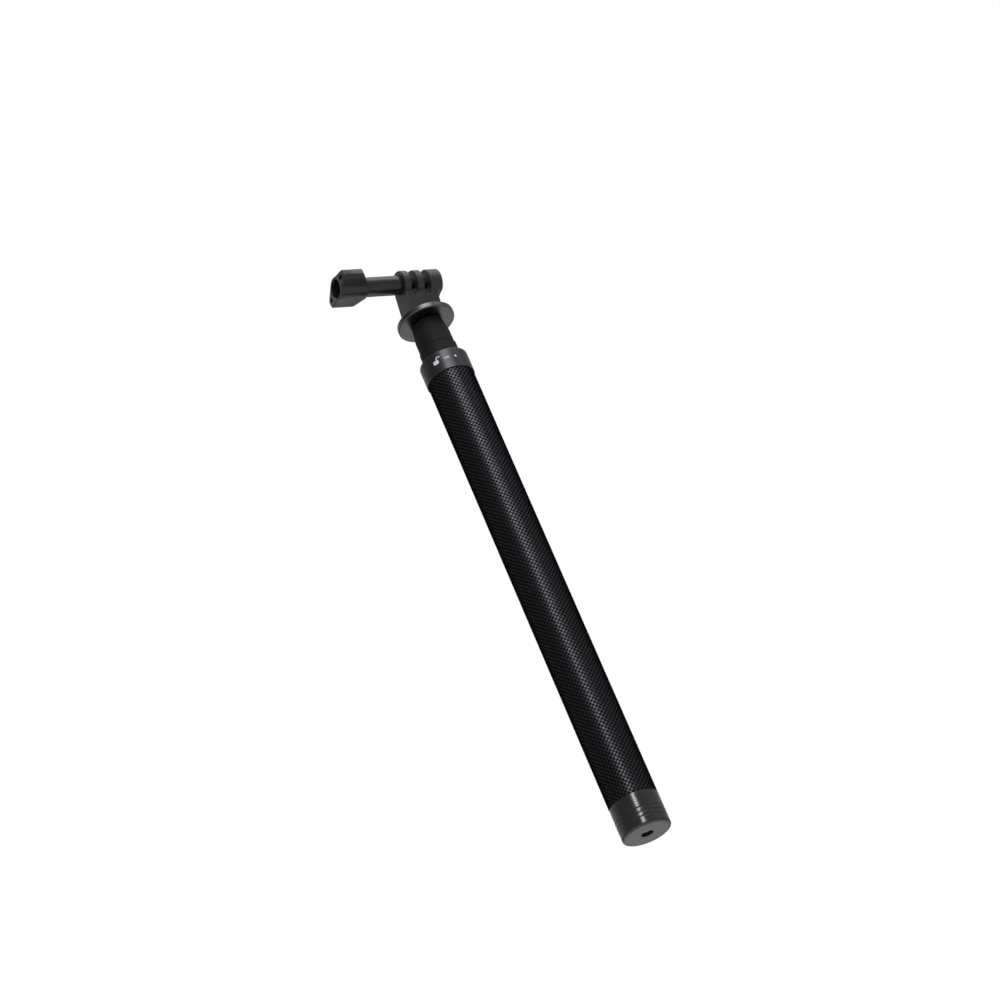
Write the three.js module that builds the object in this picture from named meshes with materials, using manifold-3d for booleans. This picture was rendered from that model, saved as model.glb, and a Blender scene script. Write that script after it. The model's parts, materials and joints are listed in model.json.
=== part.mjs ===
// Telescoping selfie stick for an action camera, collapsed, in millimetres.
// +Z runs along the stick from the end cap to the camera fork, with the origin at the middle of the end
// face. The thumb screw lies along X, with its knob on the -X side. The stick is a stack of turned
// pieces around Z, so most solids are lathe profiles; the fork and the knob are profiles extruded along X.
import * as THREE from "three";
import { mergeVertices } from "three/addons/utils/BufferGeometryUtils.js";
import Module from "manifold-3d";

const wasm = await Module();
wasm.setup();

// ---- Driving dimensions ----

const GRIP_RADIUS = 12.5;
const GRIP_BORE = 11.0;
const CAP_HEIGHT = 17.1;
const TUBE_TOP = 270.3;
const END_CHAMFER = 1.0;
const GROOVE_HEIGHTS = [4.4, 6.8, 9.2];
const GROOVE_DEPTH = 0.4;
const GROOVE_HALF = 0.3;
const SOCKET_RADIUS = 2.95;

const GAP = 0.2; // between pieces that touch end to end
const RUNNING = 0.2; // between a bore and what slides in it

// The nested sections, outermost first: outer and inner radius.
const SECTIONS = [
  [9.6, 8.8],
  [8.3, 7.55],
  [7.05, 6.3],
  [5.8, 5.05],
  [4.55, 3.8],
];
const FIRST_FOOT = 31.6; // bottom of the first section's foot
const FOOT_STEP = 11; // each foot sits this much above the one outside it
const FOOT_HEIGHT = 6;
const FOOT_SPIGOT = 3.8;
const FERRULE_HEIGHT = 2;
const FIRST_FERRULE_TOP = 282.9;

const COLLAR_RADIUS = 13.0;
const COLLAR_BOTTOM = 270.6;
const COLLAR_TOP = 282.8;
const COLLAR_MOUTH = 10.3;

const NECK_BOTTOM = 283.1;
const NECK_STEP = 291.0;
const NECK_TAPER = 299.0;
const NECK_TOP = 307.3;
const NECK_BASE_RADIUS = 10.05;
const NECK_RADIUS = 9.55;
const NECK_TOP_RADIUS = 8.45;

const STUD_RADIUS = 3.05;
const STUD_TOP = 319.3;
const WHEEL_RADIUS = 15.4;
const WHEEL_BOTTOM = 308.1;
const WHEEL_TOP = 311.2;

// The fork: a leaning base with three round lugs around the thumb screw's axis.
const FORK_BOTTOM = 311.5;
const HINGE_Y = -4.6;
const HINGE_Z = 331.1;
const LUG_RADIUS = 7.2;
const PRONG = 3.7; // thickness of a prong
const PRONG_PITCH = 7.55;
const FORK_HALF_WIDTH = PRONG_PITCH + PRONG / 2;
const FORK_FRONT = -5.4; // the base's front and back at its foot
const FORK_BACK = 6.8;
const SLOT_FLOOR = 323.0;
const BOSS_END = 12.7;

// The thumb screw along -X.
const SCREW_RADIUS = 2.4;
const SLEEVE_RADIUS = 5.15;
const SLEEVE_START = 10.75;
const FLANK_START = 31.4;
const WING_START = 35.6;
const KNOB_END = 46.3;
const HUB_RADIUS = 6.4;
const WING_REACH = 11.6;
const WING_HALF = 2.8;
const WING_ANGLE = THREE.MathUtils.degToRad(173.5); // from +Y towards +Z
const HOLLOW_RADIUS = 5.0;
const HOLLOW_FLOOR = 41.2;

const ROUND = 48; // facets of the outer pieces
const FINE = 32; // facets of the inner pieces
const SMALL = 24; // facets of screws and studs

// ---- Materials ----

const finish = (color, roughness, metalness) =>
  new THREE.MeshStandardMaterial({ color, roughness, metalness });
const anodised = finish(0x4c4c4e, 0.35, 0.9);
const carbon = finish(0x1c1c1d, 0.35, 0.1);
const collarMetal = finish(0x454547, 0.4, 0.9);
const neckPlastic = finish(0x262627, 0.6, 0);
const wheelMetal = finish(0x777779, 0.35, 1);
const forkPlastic = finish(0x404042, 0.55, 0);
const knobPlastic = finish(0x3a3a3c, 0.4, 0);
const steel = finish(0x9a9a9c, 0.3, 1);
const brass = finish(0xb08d4a, 0.35, 1);
const tubeMetal = finish(0x3c3c3f, 0.3, 1);
const guidePlastic = finish(0x1a1a1a, 0.5, 0);
const rubber = finish(0x161616, 0.85, 0);

// ---- Geometry helpers ----

// A closed geometry as a manifold-3d solid.
function solid(geometry) {
  const bare = new THREE.BufferGeometry();
  bare.setAttribute("position", geometry.getAttribute("position"));
  bare.setIndex(geometry.getIndex());
  const merged = mergeVertices(bare, 1e-4);
  return new wasm.Manifold(
    new wasm.Mesh({
      numProp: 3,
      vertProperties: merged.attributes.position.array,
      triVerts: new Uint32Array(merged.index.array),
    }),
  );
}

// A solid back as a geometry with flat shading.
function geometryOf(body) {
  const mesh = body.getMesh();
  const geometry = new THREE.BufferGeometry();
  geometry.setAttribute("position", new THREE.BufferAttribute(mesh.vertProperties, 3));
  geometry.setIndex(new THREE.BufferAttribute(mesh.triVerts, 1));
  const flat = geometry.toNonIndexed();
  flat.computeVertexNormals();
  return flat;
}

// A turned piece around Z. The profile is [radius, height] pairs, with the material on its left going up
// the outside; a profile off the axis is closed on itself.
function turned(profile, facets = ROUND) {
  const points = profile.map(([r, z]) => new THREE.Vector2(r, z));
  const onAxis = profile[0][0] === 0;
  if (!onAxis) points.push(points[0].clone());
  return new THREE.LatheGeometry(points, facets).rotateX(Math.PI / 2);
}

const ring = (outer, inner, low, high, facets = FINE) =>
  turned([[outer, low], [outer, high], [inner, high], [inner, low]], facets);

const rod = (radius, low, high, facets = SMALL, chamfer = 0) =>
  turned(
    chamfer
      ? [[0, low], [radius, low], [radius, high - chamfer], [radius - chamfer, high], [0, high]]
      : [[0, low], [radius, low], [radius, high], [0, high]],
    facets,
  );

// Turns a piece made around Z so that it lies around X, through the thumb screw's axis.
const alongX = (geometry) => geometry.rotateY(Math.PI / 2).translate(0, HINGE_Y, HINGE_Z);

// A shape drawn in the YZ plane and extruded along X from low to high.
function prismX(shape, low, high, curveSegments = 12) {
  const depth = high - low;
  const geometry = new THREE.ExtrudeGeometry(shape, { depth, bevelEnabled: false, curveSegments });
  const turn = new THREE.Matrix4().set(0, 0, 1, low, 1, 0, 0, 0, 0, 1, 0, 0, 0, 0, 0, 1);
  return geometry.applyMatrix4(turn);
}

const circle = (y, z, radius) => new THREE.Shape().absarc(y, z, radius, 0, 2 * Math.PI);

const stick = new THREE.Group();

function add(name, geometry, material) {
  const mesh = new THREE.Mesh(geometry, material);
  mesh.name = name;
  stick.add(mesh);
}

// ---- Grip ----

// The cap's outline up its side, with a V-groove at each groove height.
function capSide() {
  return GROOVE_HEIGHTS.flatMap((z) => [
    [GRIP_RADIUS, z - GROOVE_HALF],
    [GRIP_RADIUS - GROOVE_DEPTH, z],
    [GRIP_RADIUS, z + GROOVE_HALF],
  ]);
}

const SPIGOT_RADIUS = GRIP_BORE - RUNNING;
const CAP_SPIGOT_TOP = 28;
const SOCKET_LIP = 1.6;
const INSERT_RADIUS = 4.1;
const INSERT_TOP = 14;
const THREAD_RADIUS = SOCKET_RADIUS + 0.05; // just wider than the lip

add(
  "end_cap",
  turned([
    [SOCKET_RADIUS, 0],
    [GRIP_RADIUS - END_CHAMFER, 0],
    [GRIP_RADIUS, END_CHAMFER],
    ...capSide(),
    [GRIP_RADIUS, CAP_HEIGHT],
    [SPIGOT_RADIUS, CAP_HEIGHT],
    [SPIGOT_RADIUS, CAP_SPIGOT_TOP],
    [INSERT_RADIUS + GAP, CAP_SPIGOT_TOP],
    [INSERT_RADIUS + GAP, SOCKET_LIP],
    [SOCKET_RADIUS, SOCKET_LIP],
  ]),
  anodised,
);

add(
  "tripod_thread_insert",
  ring(INSERT_RADIUS, THREAD_RADIUS, SOCKET_LIP + GAP, INSERT_TOP),
  steel,
);

const BUMPER_RADIUS = 8;
const BUMPER_TOP = FIRST_FOOT - 1.5 * GAP;
add("inner_bumper", rod(BUMPER_RADIUS, CAP_SPIGOT_TOP + GAP, BUMPER_TOP, FINE), rubber);

add("grip_tube", ring(GRIP_RADIUS, GRIP_BORE, CAP_HEIGHT + GAP, TUBE_TOP, ROUND), carbon);

// ---- Twist lock ----

const FIRST_OUTER = SECTIONS[0][0];
const COLLET_BORE = FIRST_OUTER + RUNNING;
const BASE_SPIGOT_BOTTOM = 252;
const BASE_FLANGE_RADIUS = 11.7;
const BASE_FLANGE_TOP = 272;
const BASE_NECK_RADIUS = 11.6;
const BASE_NECK_BORE = 10.7;
const BASE_NECK_TOP = 278.6;
const COLLAR_BORE = 11.95;

add(
  "collar_base",
  turned([
    [COLLET_BORE, BASE_SPIGOT_BOTTOM],
    [SPIGOT_RADIUS, BASE_SPIGOT_BOTTOM],
    [SPIGOT_RADIUS, TUBE_TOP + GAP],
    [BASE_FLANGE_RADIUS, TUBE_TOP + GAP],
    [BASE_FLANGE_RADIUS, BASE_FLANGE_TOP],
    [BASE_NECK_RADIUS, BASE_FLANGE_TOP],
    [BASE_NECK_RADIUS, BASE_NECK_TOP],
    [BASE_NECK_BORE, BASE_NECK_TOP],
    [BASE_NECK_BORE, BASE_FLANGE_TOP],
    [COLLET_BORE, BASE_FLANGE_TOP],
  ]),
  tubeMetal,
);

// The collet: a sleeve inside the ferrule with a conical head above it, slit from the top.
const COLLET_SLITS = 4;
const SLIT_WIDTH = 0.9;
const SLIT_FLOOR = 2; // height of the uncut ring below the slits
const COLLET_BOTTOM = BASE_FLANGE_TOP + GAP;
const COLLET_HEAD_BOTTOM = BASE_NECK_TOP + GAP;
const COLLET_TOP = 281.4;
const COLLET_HEAD_RADIUS = 11.3;
const COLLET_TIP_RADIUS = 10.5;

function collet() {
  let body = solid(
    turned(
      [
        [COLLET_BORE, COLLET_BOTTOM],
        [BASE_NECK_BORE - RUNNING, COLLET_BOTTOM],
        [BASE_NECK_BORE - RUNNING, COLLET_HEAD_BOTTOM],
        [COLLET_HEAD_RADIUS, COLLET_HEAD_BOTTOM],
        [COLLET_TIP_RADIUS, COLLET_TOP],
        [COLLET_BORE, COLLET_TOP],
      ],
      FINE,
    ),
  );
  const height = COLLET_TOP - COLLET_BOTTOM;
  for (let i = 0; i < COLLET_SLITS / 2; i++) {
    const slit = new THREE.BoxGeometry(3 * GRIP_RADIUS, SLIT_WIDTH, height)
      .translate(0, 0, COLLET_BOTTOM + SLIT_FLOOR + height / 2)
      .rotateZ((i * 2 * Math.PI) / COLLET_SLITS + Math.PI / 4);
    body = body.subtract(solid(slit));
  }
  return geometryOf(body);
}
add("lock_collet", collet(), guidePlastic);

const COLLAR_ROUNDING = 0.9; // of the top edge, in two facets
const COLLAR_CHAMFER = 0.3; // of the bottom edge
const COLLAR_FACET = 0.3 * COLLAR_ROUNDING;
const COLLAR_ROOF = 0.7; // thickness over the collet
add(
  "lock_collar",
  turned([
    [COLLAR_BORE, COLLAR_BOTTOM],
    [COLLAR_RADIUS - COLLAR_CHAMFER, COLLAR_BOTTOM],
    [COLLAR_RADIUS, COLLAR_BOTTOM + COLLAR_CHAMFER],
    [COLLAR_RADIUS, COLLAR_TOP - COLLAR_ROUNDING],
    [COLLAR_RADIUS - COLLAR_FACET, COLLAR_TOP - COLLAR_FACET],
    [COLLAR_RADIUS - COLLAR_ROUNDING, COLLAR_TOP],
    [COLLAR_MOUTH, COLLAR_TOP],
    [COLLAR_MOUTH, COLLAR_TOP - COLLAR_ROOF],
    [COLLAR_BORE, COLLET_HEAD_BOTTOM],
  ]),
  collarMetal,
);

// ---- Nested sections ----

const NECK_BORE = SECTIONS[4][0] + RUNNING;
const TUBE_5_TOP = 300.2;
const CLEARANCE = 0.3; // around screws and studs
const THREAD_CLEARANCE = 0.15; // between a smooth thread and its bore

SECTIONS.forEach(([outer, inner], i) => {
  const number = i + 1;
  const last = i === SECTIONS.length - 1;
  const surround = i === 0 ? GRIP_BORE : SECTIONS[i - 1][1];
  const footBottom = FIRST_FOOT + i * FOOT_STEP;
  const footTop = footBottom + FOOT_HEIGHT;
  const ferruleTop = FIRST_FERRULE_TOP + i * FERRULE_HEIGHT;
  const tubeTop = last ? TUBE_5_TOP : ferruleTop - FERRULE_HEIGHT - GAP;
  const flange = surround - RUNNING;
  const spigot = inner - RUNNING;
  add("section_tube_" + number, ring(outer, inner, footTop + GAP, tubeTop), tubeMetal);
  add(
    "section_foot_" + number,
    turned(
      [
        [0, footBottom],
        [flange, footBottom],
        [flange, footTop],
        [spigot, footTop],
        [spigot, footTop + FOOT_SPIGOT],
        [0, footTop + FOOT_SPIGOT],
      ],
      FINE,
    ),
    guidePlastic,
  );
  if (!last) {
    const bore = SECTIONS[i + 1][0] + RUNNING;
    add(
      "section_ferrule_" + number,
      ring(outer, bore, ferruleTop - FERRULE_HEIGHT, ferruleTop),
      guidePlastic,
    );
  }
});

// ---- Neck and stud ----

const NECK_CAVITY = 8.9;
const NECK_CAVITY_TOP = 290.2;
const POCKET_RADIUS = 6.7;
const POCKET_FLOOR = TUBE_5_TOP + GAP;
const STEP_SLOPE = 0.3; // half the height of the step
const RIM_CHAMFER = 0.4;

add(
  "neck_shell",
  turned([
    [NECK_CAVITY, NECK_BOTTOM],
    [NECK_BASE_RADIUS, NECK_BOTTOM],
    [NECK_BASE_RADIUS, NECK_STEP - STEP_SLOPE],
    [NECK_RADIUS, NECK_STEP + STEP_SLOPE],
    [NECK_RADIUS, NECK_TAPER],
    [NECK_TOP_RADIUS, NECK_TOP - RIM_CHAMFER],
    [NECK_TOP_RADIUS - RIM_CHAMFER, NECK_TOP],
    [POCKET_RADIUS, NECK_TOP],
    [POCKET_RADIUS, POCKET_FLOOR],
    [NECK_BORE, POCKET_FLOOR],
    [NECK_BORE, NECK_CAVITY_TOP],
    [NECK_CAVITY, NECK_CAVITY_TOP],
  ]),
  neckPlastic,
);

const STUD_BOTTOM = 302.4;
const STUD_BORE = STUD_RADIUS + THREAD_CLEARANCE;
const STUD_CHAMFER = 0.6;
const HEAD_SPIGOT_BOTTOM = 292;
add(
  "head_insert",
  turned(
    [
      [0, HEAD_SPIGOT_BOTTOM],
      [SECTIONS[4][1] - RUNNING, HEAD_SPIGOT_BOTTOM],
      [SECTIONS[4][1] - RUNNING, POCKET_FLOOR + GAP],
      [POCKET_RADIUS - RUNNING, POCKET_FLOOR + GAP],
      [POCKET_RADIUS - RUNNING, NECK_TOP - GAP],
      [STUD_BORE, NECK_TOP - GAP],
      [STUD_BORE, STUD_BOTTOM - GAP],
      [0, STUD_BOTTOM - GAP],
    ],
    FINE,
  ),
  steel,
);
add("camera_stud", rod(STUD_RADIUS, STUD_BOTTOM, STUD_TOP, SMALL, STUD_CHAMFER), steel);

// ---- Locking wheel ----

const WHEEL_CHAMFER = 0.4;
const WHEEL_BORE = STUD_RADIUS + CLEARANCE;
add(
  "locking_wheel",
  turned([
    [WHEEL_BORE, WHEEL_BOTTOM],
    [WHEEL_RADIUS - WHEEL_CHAMFER, WHEEL_BOTTOM],
    [WHEEL_RADIUS, WHEEL_BOTTOM + WHEEL_CHAMFER],
    [WHEEL_RADIUS, WHEEL_TOP - WHEEL_CHAMFER],
    [WHEEL_RADIUS - WHEEL_CHAMFER, WHEEL_TOP],
    [WHEEL_BORE, WHEEL_TOP],
  ]),
  wheelMetal,
);

// ---- Camera fork ----

const FORK_INSERT_RADIUS = 3.9;
const FORK_INSERT_TOP = 319.9;
const INSERT_BORE = STUD_RADIUS + 0.25;
const HOLE_RADIUS = SCREW_RADIUS + 0.35;
const SCREW_BORE = SCREW_RADIUS + RUNNING;
const SHOULDER = [2.6, 2]; // how far the base's front edge stops behind and below the lugs' axis
const BEYOND = 1; // how far a cutting tool runs past a face
const NUT_FLATS = 7.8; // across the flats of the M5 nut
const NUT_THICK = 3.7;
const NUT_POCKET = BOSS_END - NUT_THICK - 2 * GAP;

// A regular hexagon around the screw's axis, by its distance across the flats.
function hexagon(flats) {
  const shape = new THREE.Shape();
  for (let i = 0; i < 6; i++) {
    const angle = (i * Math.PI) / 3;
    const reach = flats / 2 / Math.cos(Math.PI / 6);
    const [y, z] = [HINGE_Y + reach * Math.cos(angle), HINGE_Z + reach * Math.sin(angle)];
    if (i) shape.lineTo(y, z);
    else shape.moveTo(y, z);
  }
  shape.closePath();
  return shape;
}

// The leaning base: from its flat foot up to where its back meets the lugs, seen along X.
function baseShape() {
  const lean = (FORK_FRONT + FORK_BACK) / 2 - HINGE_Y;
  const side = Math.atan2(HINGE_Z - FORK_BOTTOM, lean);
  const out = [LUG_RADIUS * Math.sin(side), LUG_RADIUS * Math.cos(side)];
  const shape = new THREE.Shape();
  shape.moveTo(FORK_FRONT, FORK_BOTTOM);
  shape.lineTo(FORK_BACK, FORK_BOTTOM);
  shape.lineTo(HINGE_Y + out[0], HINGE_Z + out[1]);
  shape.lineTo(HINGE_Y - out[0] + SHOULDER[0], HINGE_Z - SHOULDER[1]);
  shape.closePath();
  return shape;
}

const SLOT_HEIGHT = 4 * LUG_RADIUS; // well past the top of the lugs

function fork() {
  let body = solid(prismX(baseShape(), -FORK_HALF_WIDTH, FORK_HALF_WIDTH));
  const lug = circle(HINGE_Y, HINGE_Z, LUG_RADIUS);
  body = body.add(solid(prismX(lug, -FORK_HALF_WIDTH, BOSS_END, 18)));
  for (const side of [-1, 1]) {
    const low = PRONG / 2;
    const high = PRONG_PITCH - PRONG / 2;
    const gap = new THREE.BoxGeometry(high - low, 6 * LUG_RADIUS, SLOT_HEIGHT);
    gap.translate((side * (low + high)) / 2, 0, SLOT_FLOOR + SLOT_HEIGHT / 2);
    body = body.subtract(solid(gap));
  }
  const hole = prismX(circle(HINGE_Y, HINGE_Z, HOLE_RADIUS), -2 * BOSS_END, 2 * BOSS_END, 10);
  body = body.subtract(solid(hole));
  body = body.subtract(solid(prismX(hexagon(NUT_FLATS + 2 * GAP), NUT_POCKET, BOSS_END + BEYOND)));
  const insertPocket = rod(FORK_INSERT_RADIUS + GAP, FORK_BOTTOM - BEYOND, FORK_INSERT_TOP + GAP);
  return geometryOf(body.subtract(solid(insertPocket)));
}
add("mount_fork", fork(), forkPlastic);

add(
  "fork_thread_insert",
  ring(FORK_INSERT_RADIUS, INSERT_BORE, FORK_BOTTOM + GAP, FORK_INSERT_TOP, SMALL),
  brass,
);

function hexNut() {
  const low = NUT_POCKET + GAP;
  const bore = circle(HINGE_Y, HINGE_Z, SCREW_BORE);
  const outside = solid(prismX(hexagon(NUT_FLATS), low, low + NUT_THICK));
  return geometryOf(outside.subtract(solid(prismX(bore, low - BEYOND, low + NUT_THICK + BEYOND, 8))));
}
add("hex_nut", hexNut(), steel);

// ---- Thumb screw ----

add(
  "screw_washer",
  alongX(ring(SLEEVE_RADIUS, SCREW_RADIUS + CLEARANCE, -SLEEVE_START + GAP, -FORK_HALF_WIDTH - GAP)),
  rubber,
);

const HEAD_RADIUS = 4.3;
const HEAD_BOTTOM = 37;
const KEY_FLATS = 4;
const KEY_DEPTH = 2.2;
const SCREW_END = 12.2;
const SCREW_CHAMFER = 0.5;

function thumbBolt() {
  const profile = [
    [0, -HOLLOW_FLOOR + GAP],
    [HEAD_RADIUS, -HOLLOW_FLOOR + GAP],
    [HEAD_RADIUS, -HEAD_BOTTOM - GAP],
    [SCREW_RADIUS, -HEAD_BOTTOM - GAP],
    [SCREW_RADIUS, SCREW_END - SCREW_CHAMFER],
    [SCREW_RADIUS - SCREW_CHAMFER, SCREW_END],
    [0, SCREW_END],
  ];
  const key = prismX(hexagon(KEY_FLATS), -HOLLOW_FLOOR - BEYOND, -HOLLOW_FLOOR + GAP + KEY_DEPTH);
  return geometryOf(solid(alongX(turned(profile, SMALL))).subtract(solid(key)));
}
add("thumb_bolt", thumbBolt(), steel);

// The knob's outline at its outer end: a round hub with two straight wings that end in half circles.
function wingShape() {
  const tip = WING_REACH - WING_HALF;
  const shape = new THREE.Shape();
  shape.absarc(tip, 0, WING_HALF, -Math.PI / 2, Math.PI / 2, false);
  shape.absarc(-tip, 0, WING_HALF, Math.PI / 2, (3 * Math.PI) / 2, false);
  shape.closePath();
  return shape;
}

// A shape drawn around the screw's axis with the wings along its first direction, turned to their angle.
function aroundScrew(shape, low, high, curveSegments) {
  return prismX(shape, low, high, curveSegments)
    .rotateX(WING_ANGLE)
    .translate(0, HINGE_Y, HINGE_Z);
}

const POCKET_CENTRE = 8.4;
const WING_POCKET = 1.3;
const WING_POCKET_DEPTH = 3;
const KNOB_CHAMFER = 0.8;
const OUTSIDE = WING_REACH + 0.01; // just clear of the wings' ends

function knob() {
  let body = solid(aroundScrew(wingShape(), -KNOB_END, -FLANK_START, 8));
  body = body.add(solid(aroundScrew(circle(0, 0, HUB_RADIUS), -KNOB_END, -FLANK_START, 16)));
  // The flank narrows the wings and the hub down to the sleeve.
  const flank = turned(
    [
      [0, -KNOB_END],
      [WING_REACH - KNOB_CHAMFER, -KNOB_END],
      [OUTSIDE, -KNOB_END + KNOB_CHAMFER],
      [OUTSIDE, -WING_START],
      [SLEEVE_RADIUS, -FLANK_START],
      [0, -FLANK_START],
    ],
    ROUND,
  );
  body = body.intersect(solid(alongX(flank)));
  body = body.add(solid(alongX(rod(SLEEVE_RADIUS, -WING_START, -SLEEVE_START, FINE))));
  body = body.subtract(solid(alongX(rod(HOLLOW_RADIUS, -KNOB_END - BEYOND, -HOLLOW_FLOOR, FINE))));
  body = body.subtract(solid(alongX(rod(HEAD_RADIUS + GAP, -KNOB_END, -HEAD_BOTTOM, FINE))));
  body = body.subtract(solid(alongX(rod(SCREW_BORE, -KNOB_END, 0))));
  for (const side of [-1, 1]) {
    const pocket = circle(side * POCKET_CENTRE, 0, WING_POCKET);
    body = body.subtract(solid(aroundScrew(pocket, -KNOB_END - BEYOND, -KNOB_END + WING_POCKET_DEPTH, 6)));
  }
  return geometryOf(body);
}
add("thumb_knob", knob(), knobPlastic);

export default stick;
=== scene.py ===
# %% [markdown]
# # A telescoping selfie stick, collapsed
#
# The stick is a stack of turned pieces around the vertical axis: an end cap with a tripod socket, a long
# grip tube of woven carbon fibre, a twist-lock collar, a black neck and a locking wheel. On top sits a
# plastic fork with three prongs, clamped by a thumb screw that lies along X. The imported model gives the
# frame: its nodes and bodies are loaded first, and every new piece is built in the same place and size.

import json
import math

import bmesh
import bpy
import numpy as np
from mathutils import Matrix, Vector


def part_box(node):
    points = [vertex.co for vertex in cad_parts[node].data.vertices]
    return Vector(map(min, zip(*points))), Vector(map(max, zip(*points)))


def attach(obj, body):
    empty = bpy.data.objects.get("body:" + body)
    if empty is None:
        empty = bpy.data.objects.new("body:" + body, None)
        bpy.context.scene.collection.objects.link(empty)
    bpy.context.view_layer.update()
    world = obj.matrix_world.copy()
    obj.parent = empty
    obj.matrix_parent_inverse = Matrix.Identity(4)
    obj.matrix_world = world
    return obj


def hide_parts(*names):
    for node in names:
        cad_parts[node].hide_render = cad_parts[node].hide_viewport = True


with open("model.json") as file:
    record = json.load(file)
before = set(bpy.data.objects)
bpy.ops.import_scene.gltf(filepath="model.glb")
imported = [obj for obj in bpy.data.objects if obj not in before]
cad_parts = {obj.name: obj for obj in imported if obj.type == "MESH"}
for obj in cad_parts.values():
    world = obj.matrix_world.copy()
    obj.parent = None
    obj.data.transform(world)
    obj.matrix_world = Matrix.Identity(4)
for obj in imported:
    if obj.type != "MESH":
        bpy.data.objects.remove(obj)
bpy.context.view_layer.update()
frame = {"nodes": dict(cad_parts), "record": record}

# %% [markdown]
# ## Units and colours
#
# All sizes below are millimetres, because that is how such parts are drawn, and they are scaled to
# Blender's metres once, where a mesh is made. Colours are written as the sRGB hex values that a paint chart
# would give. Blender's shaders want linear light, so one function converts them all.

# %% Units and colours
MM = 0.001


def colour(hex_value):
    """sRGB hex to linear RGBA: c/12.92 for the darkest values, else ((c + 0.055) / 1.055) to the 2.4."""
    parts = np.array([int(hex_value[i : i + 2], 16) for i in (1, 3, 5)]) / 255
    light = np.where(parts <= 0.04045, parts / 12.92, ((parts + 0.055) / 1.055) ** 2.4)
    return (*light.tolist(), 1.0)


print("mid grey is", round(colour("#808080")[0], 3), "in linear light")

# %% [markdown]
# ## One way to make a surface
#
# Nearly every piece here is a grid of points, worked out as one array: rows run along the piece and columns
# run around it. The grid could be built with spin or screw operators, but an array keeps the formula in
# sight and gives threads, wings and weave with the same three lines. A row of radius zero is a pole, where
# the column points meet and are merged. The sign of the enclosed volume says whether the faces look out.

# %% Grid to mesh


def surface(name, points, ring=True):
    """Joins neighbouring points of a (rows, columns, 3) grid in millimetres with quads.
    Columns always close on themselves. Rows do too on a ring; otherwise both ends are poles."""
    rows, columns = points.shape[:2]
    index = np.arange(rows * columns).reshape(rows, columns)
    index = np.hstack([index, index[:, :1]])
    if ring:
        index = np.vstack([index, index[:1]])
    corners = [index[:-1, :-1], index[:-1, 1:], index[1:, 1:], index[1:, :-1]]
    quads = np.stack(corners, -1).reshape(-1, 4)
    flat = points.reshape(-1, 3)
    a, b, c, d = (flat[quads[:, k]] - flat.mean(0) for k in range(4))
    volume = np.sum(a * np.cross(b, c)) + np.sum(a * np.cross(c, d))
    if volume < 0:
        quads = quads[:, ::-1]
    mesh = bpy.data.meshes.new(name)
    mesh.from_pydata((flat * MM).tolist(), [], quads.tolist())
    tidy(mesh)
    return show(name, mesh)


def tidy(mesh):
    """Merges points that coincide, as at a pole, and drops the faces that this leaves without area."""
    work = bmesh.new()
    work.from_mesh(mesh)
    bmesh.ops.remove_doubles(work, verts=work.verts, dist=1e-7)
    bmesh.ops.dissolve_degenerate(work, edges=work.edges, dist=1e-8)
    work.to_mesh(mesh)
    work.free()
    mesh.shade_smooth()


def show(name, mesh, sharp=35.0):
    """Puts a mesh into the scene, with edges sharper than so many degrees drawn as edges."""
    mesh.set_sharp_from_angle(angle=math.radians(sharp))
    piece = bpy.data.objects.new(name, mesh)
    bpy.context.scene.collection.objects.link(piece)
    return piece


def soften(outline, radius, closed=True, steps=4):
    """Rounds each corner P of an outline. A and B lie on its two sides, `radius` from P but never past 0.4
    of a side, and the corner becomes P + (1-s)^2 (A-P) + s^2 (B-P) for s from 0 to 1. One more point just
    outside A and B keeps the flats flat in the shading."""
    p = np.asarray(outline, float)
    sides = [np.roll(p, 1, 0) - p, np.roll(p, -1, 0) - p]
    lengths = [np.linalg.norm(side, axis=1, keepdims=True) + 1e-12 for side in sides]
    a, b = (side / length * np.minimum(radius, 0.4 * length) for side, length in zip(sides, lengths))
    s = np.linspace(0, 1, steps + 1)
    to_a = np.concatenate([[1.15], (1 - s) ** 2, [0]])[None, :, None]
    to_b = np.concatenate([[0], s**2, [1.15]])[None, :, None]
    curve = p[:, None] + to_a * a[:, None] + to_b * b[:, None]
    if closed:
        return curve.reshape(-1, 2)
    return np.concatenate([p[:1], curve[1:-1].reshape(-1, 2), p[-1:]])


def around_stick(name, radius, height, angle=None, ring=True):
    """A turned piece on the stick's axis: (r cos a, r sin a, z). r and z are one value for each row, or a
    whole grid where the piece isn't round."""
    angle = full_turn(192) if angle is None else angle
    radius, height = (grid_of(values, angle) for values in (radius, height))
    points = np.stack([radius * np.cos(angle), radius * np.sin(angle), height], -1)
    return surface(name, points, ring)


def around_screw(name, reach, radius, angle=None, ring=True):
    """The same around the thumb screw's axis: (x, y0 + r cos a, z0 + r sin a)."""
    angle = full_turn(128) if angle is None else angle
    radius, reach = (grid_of(values, angle) for values in (radius, reach))
    y = HINGE_Y + radius * np.cos(angle)
    z = HINGE_Z + radius * np.sin(angle)
    return surface(name, np.stack([reach, y, z], -1), ring)


def full_turn(columns):
    """Equal angles around a circle, without the last one, which is the first again."""
    return np.arange(columns) * 2 * np.pi / columns


def grid_of(values, angle):
    """One value for each row becomes a grid of rows by columns. A grid stays as it is."""
    values = np.asarray(values, float)
    return values if values.ndim == 2 else np.repeat(values[:, None], len(angle), 1)


HINGE_Y = -4.6
HINGE_Z = 331.1
print("the thumb screw's axis is", HINGE_Z, "mm up")

# %% [markdown]
# ## Placing a piece
#
# Each new piece rides on the body of the CAD node that it stands for, takes that node's material slot, and
# hides the node, which stays in the physics model as its collision shape.

# %% Placing
BODY_OF = {n: body for body, nodes in frame["record"]["behaviour"]["bodies"].items() for n in nodes}


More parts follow.
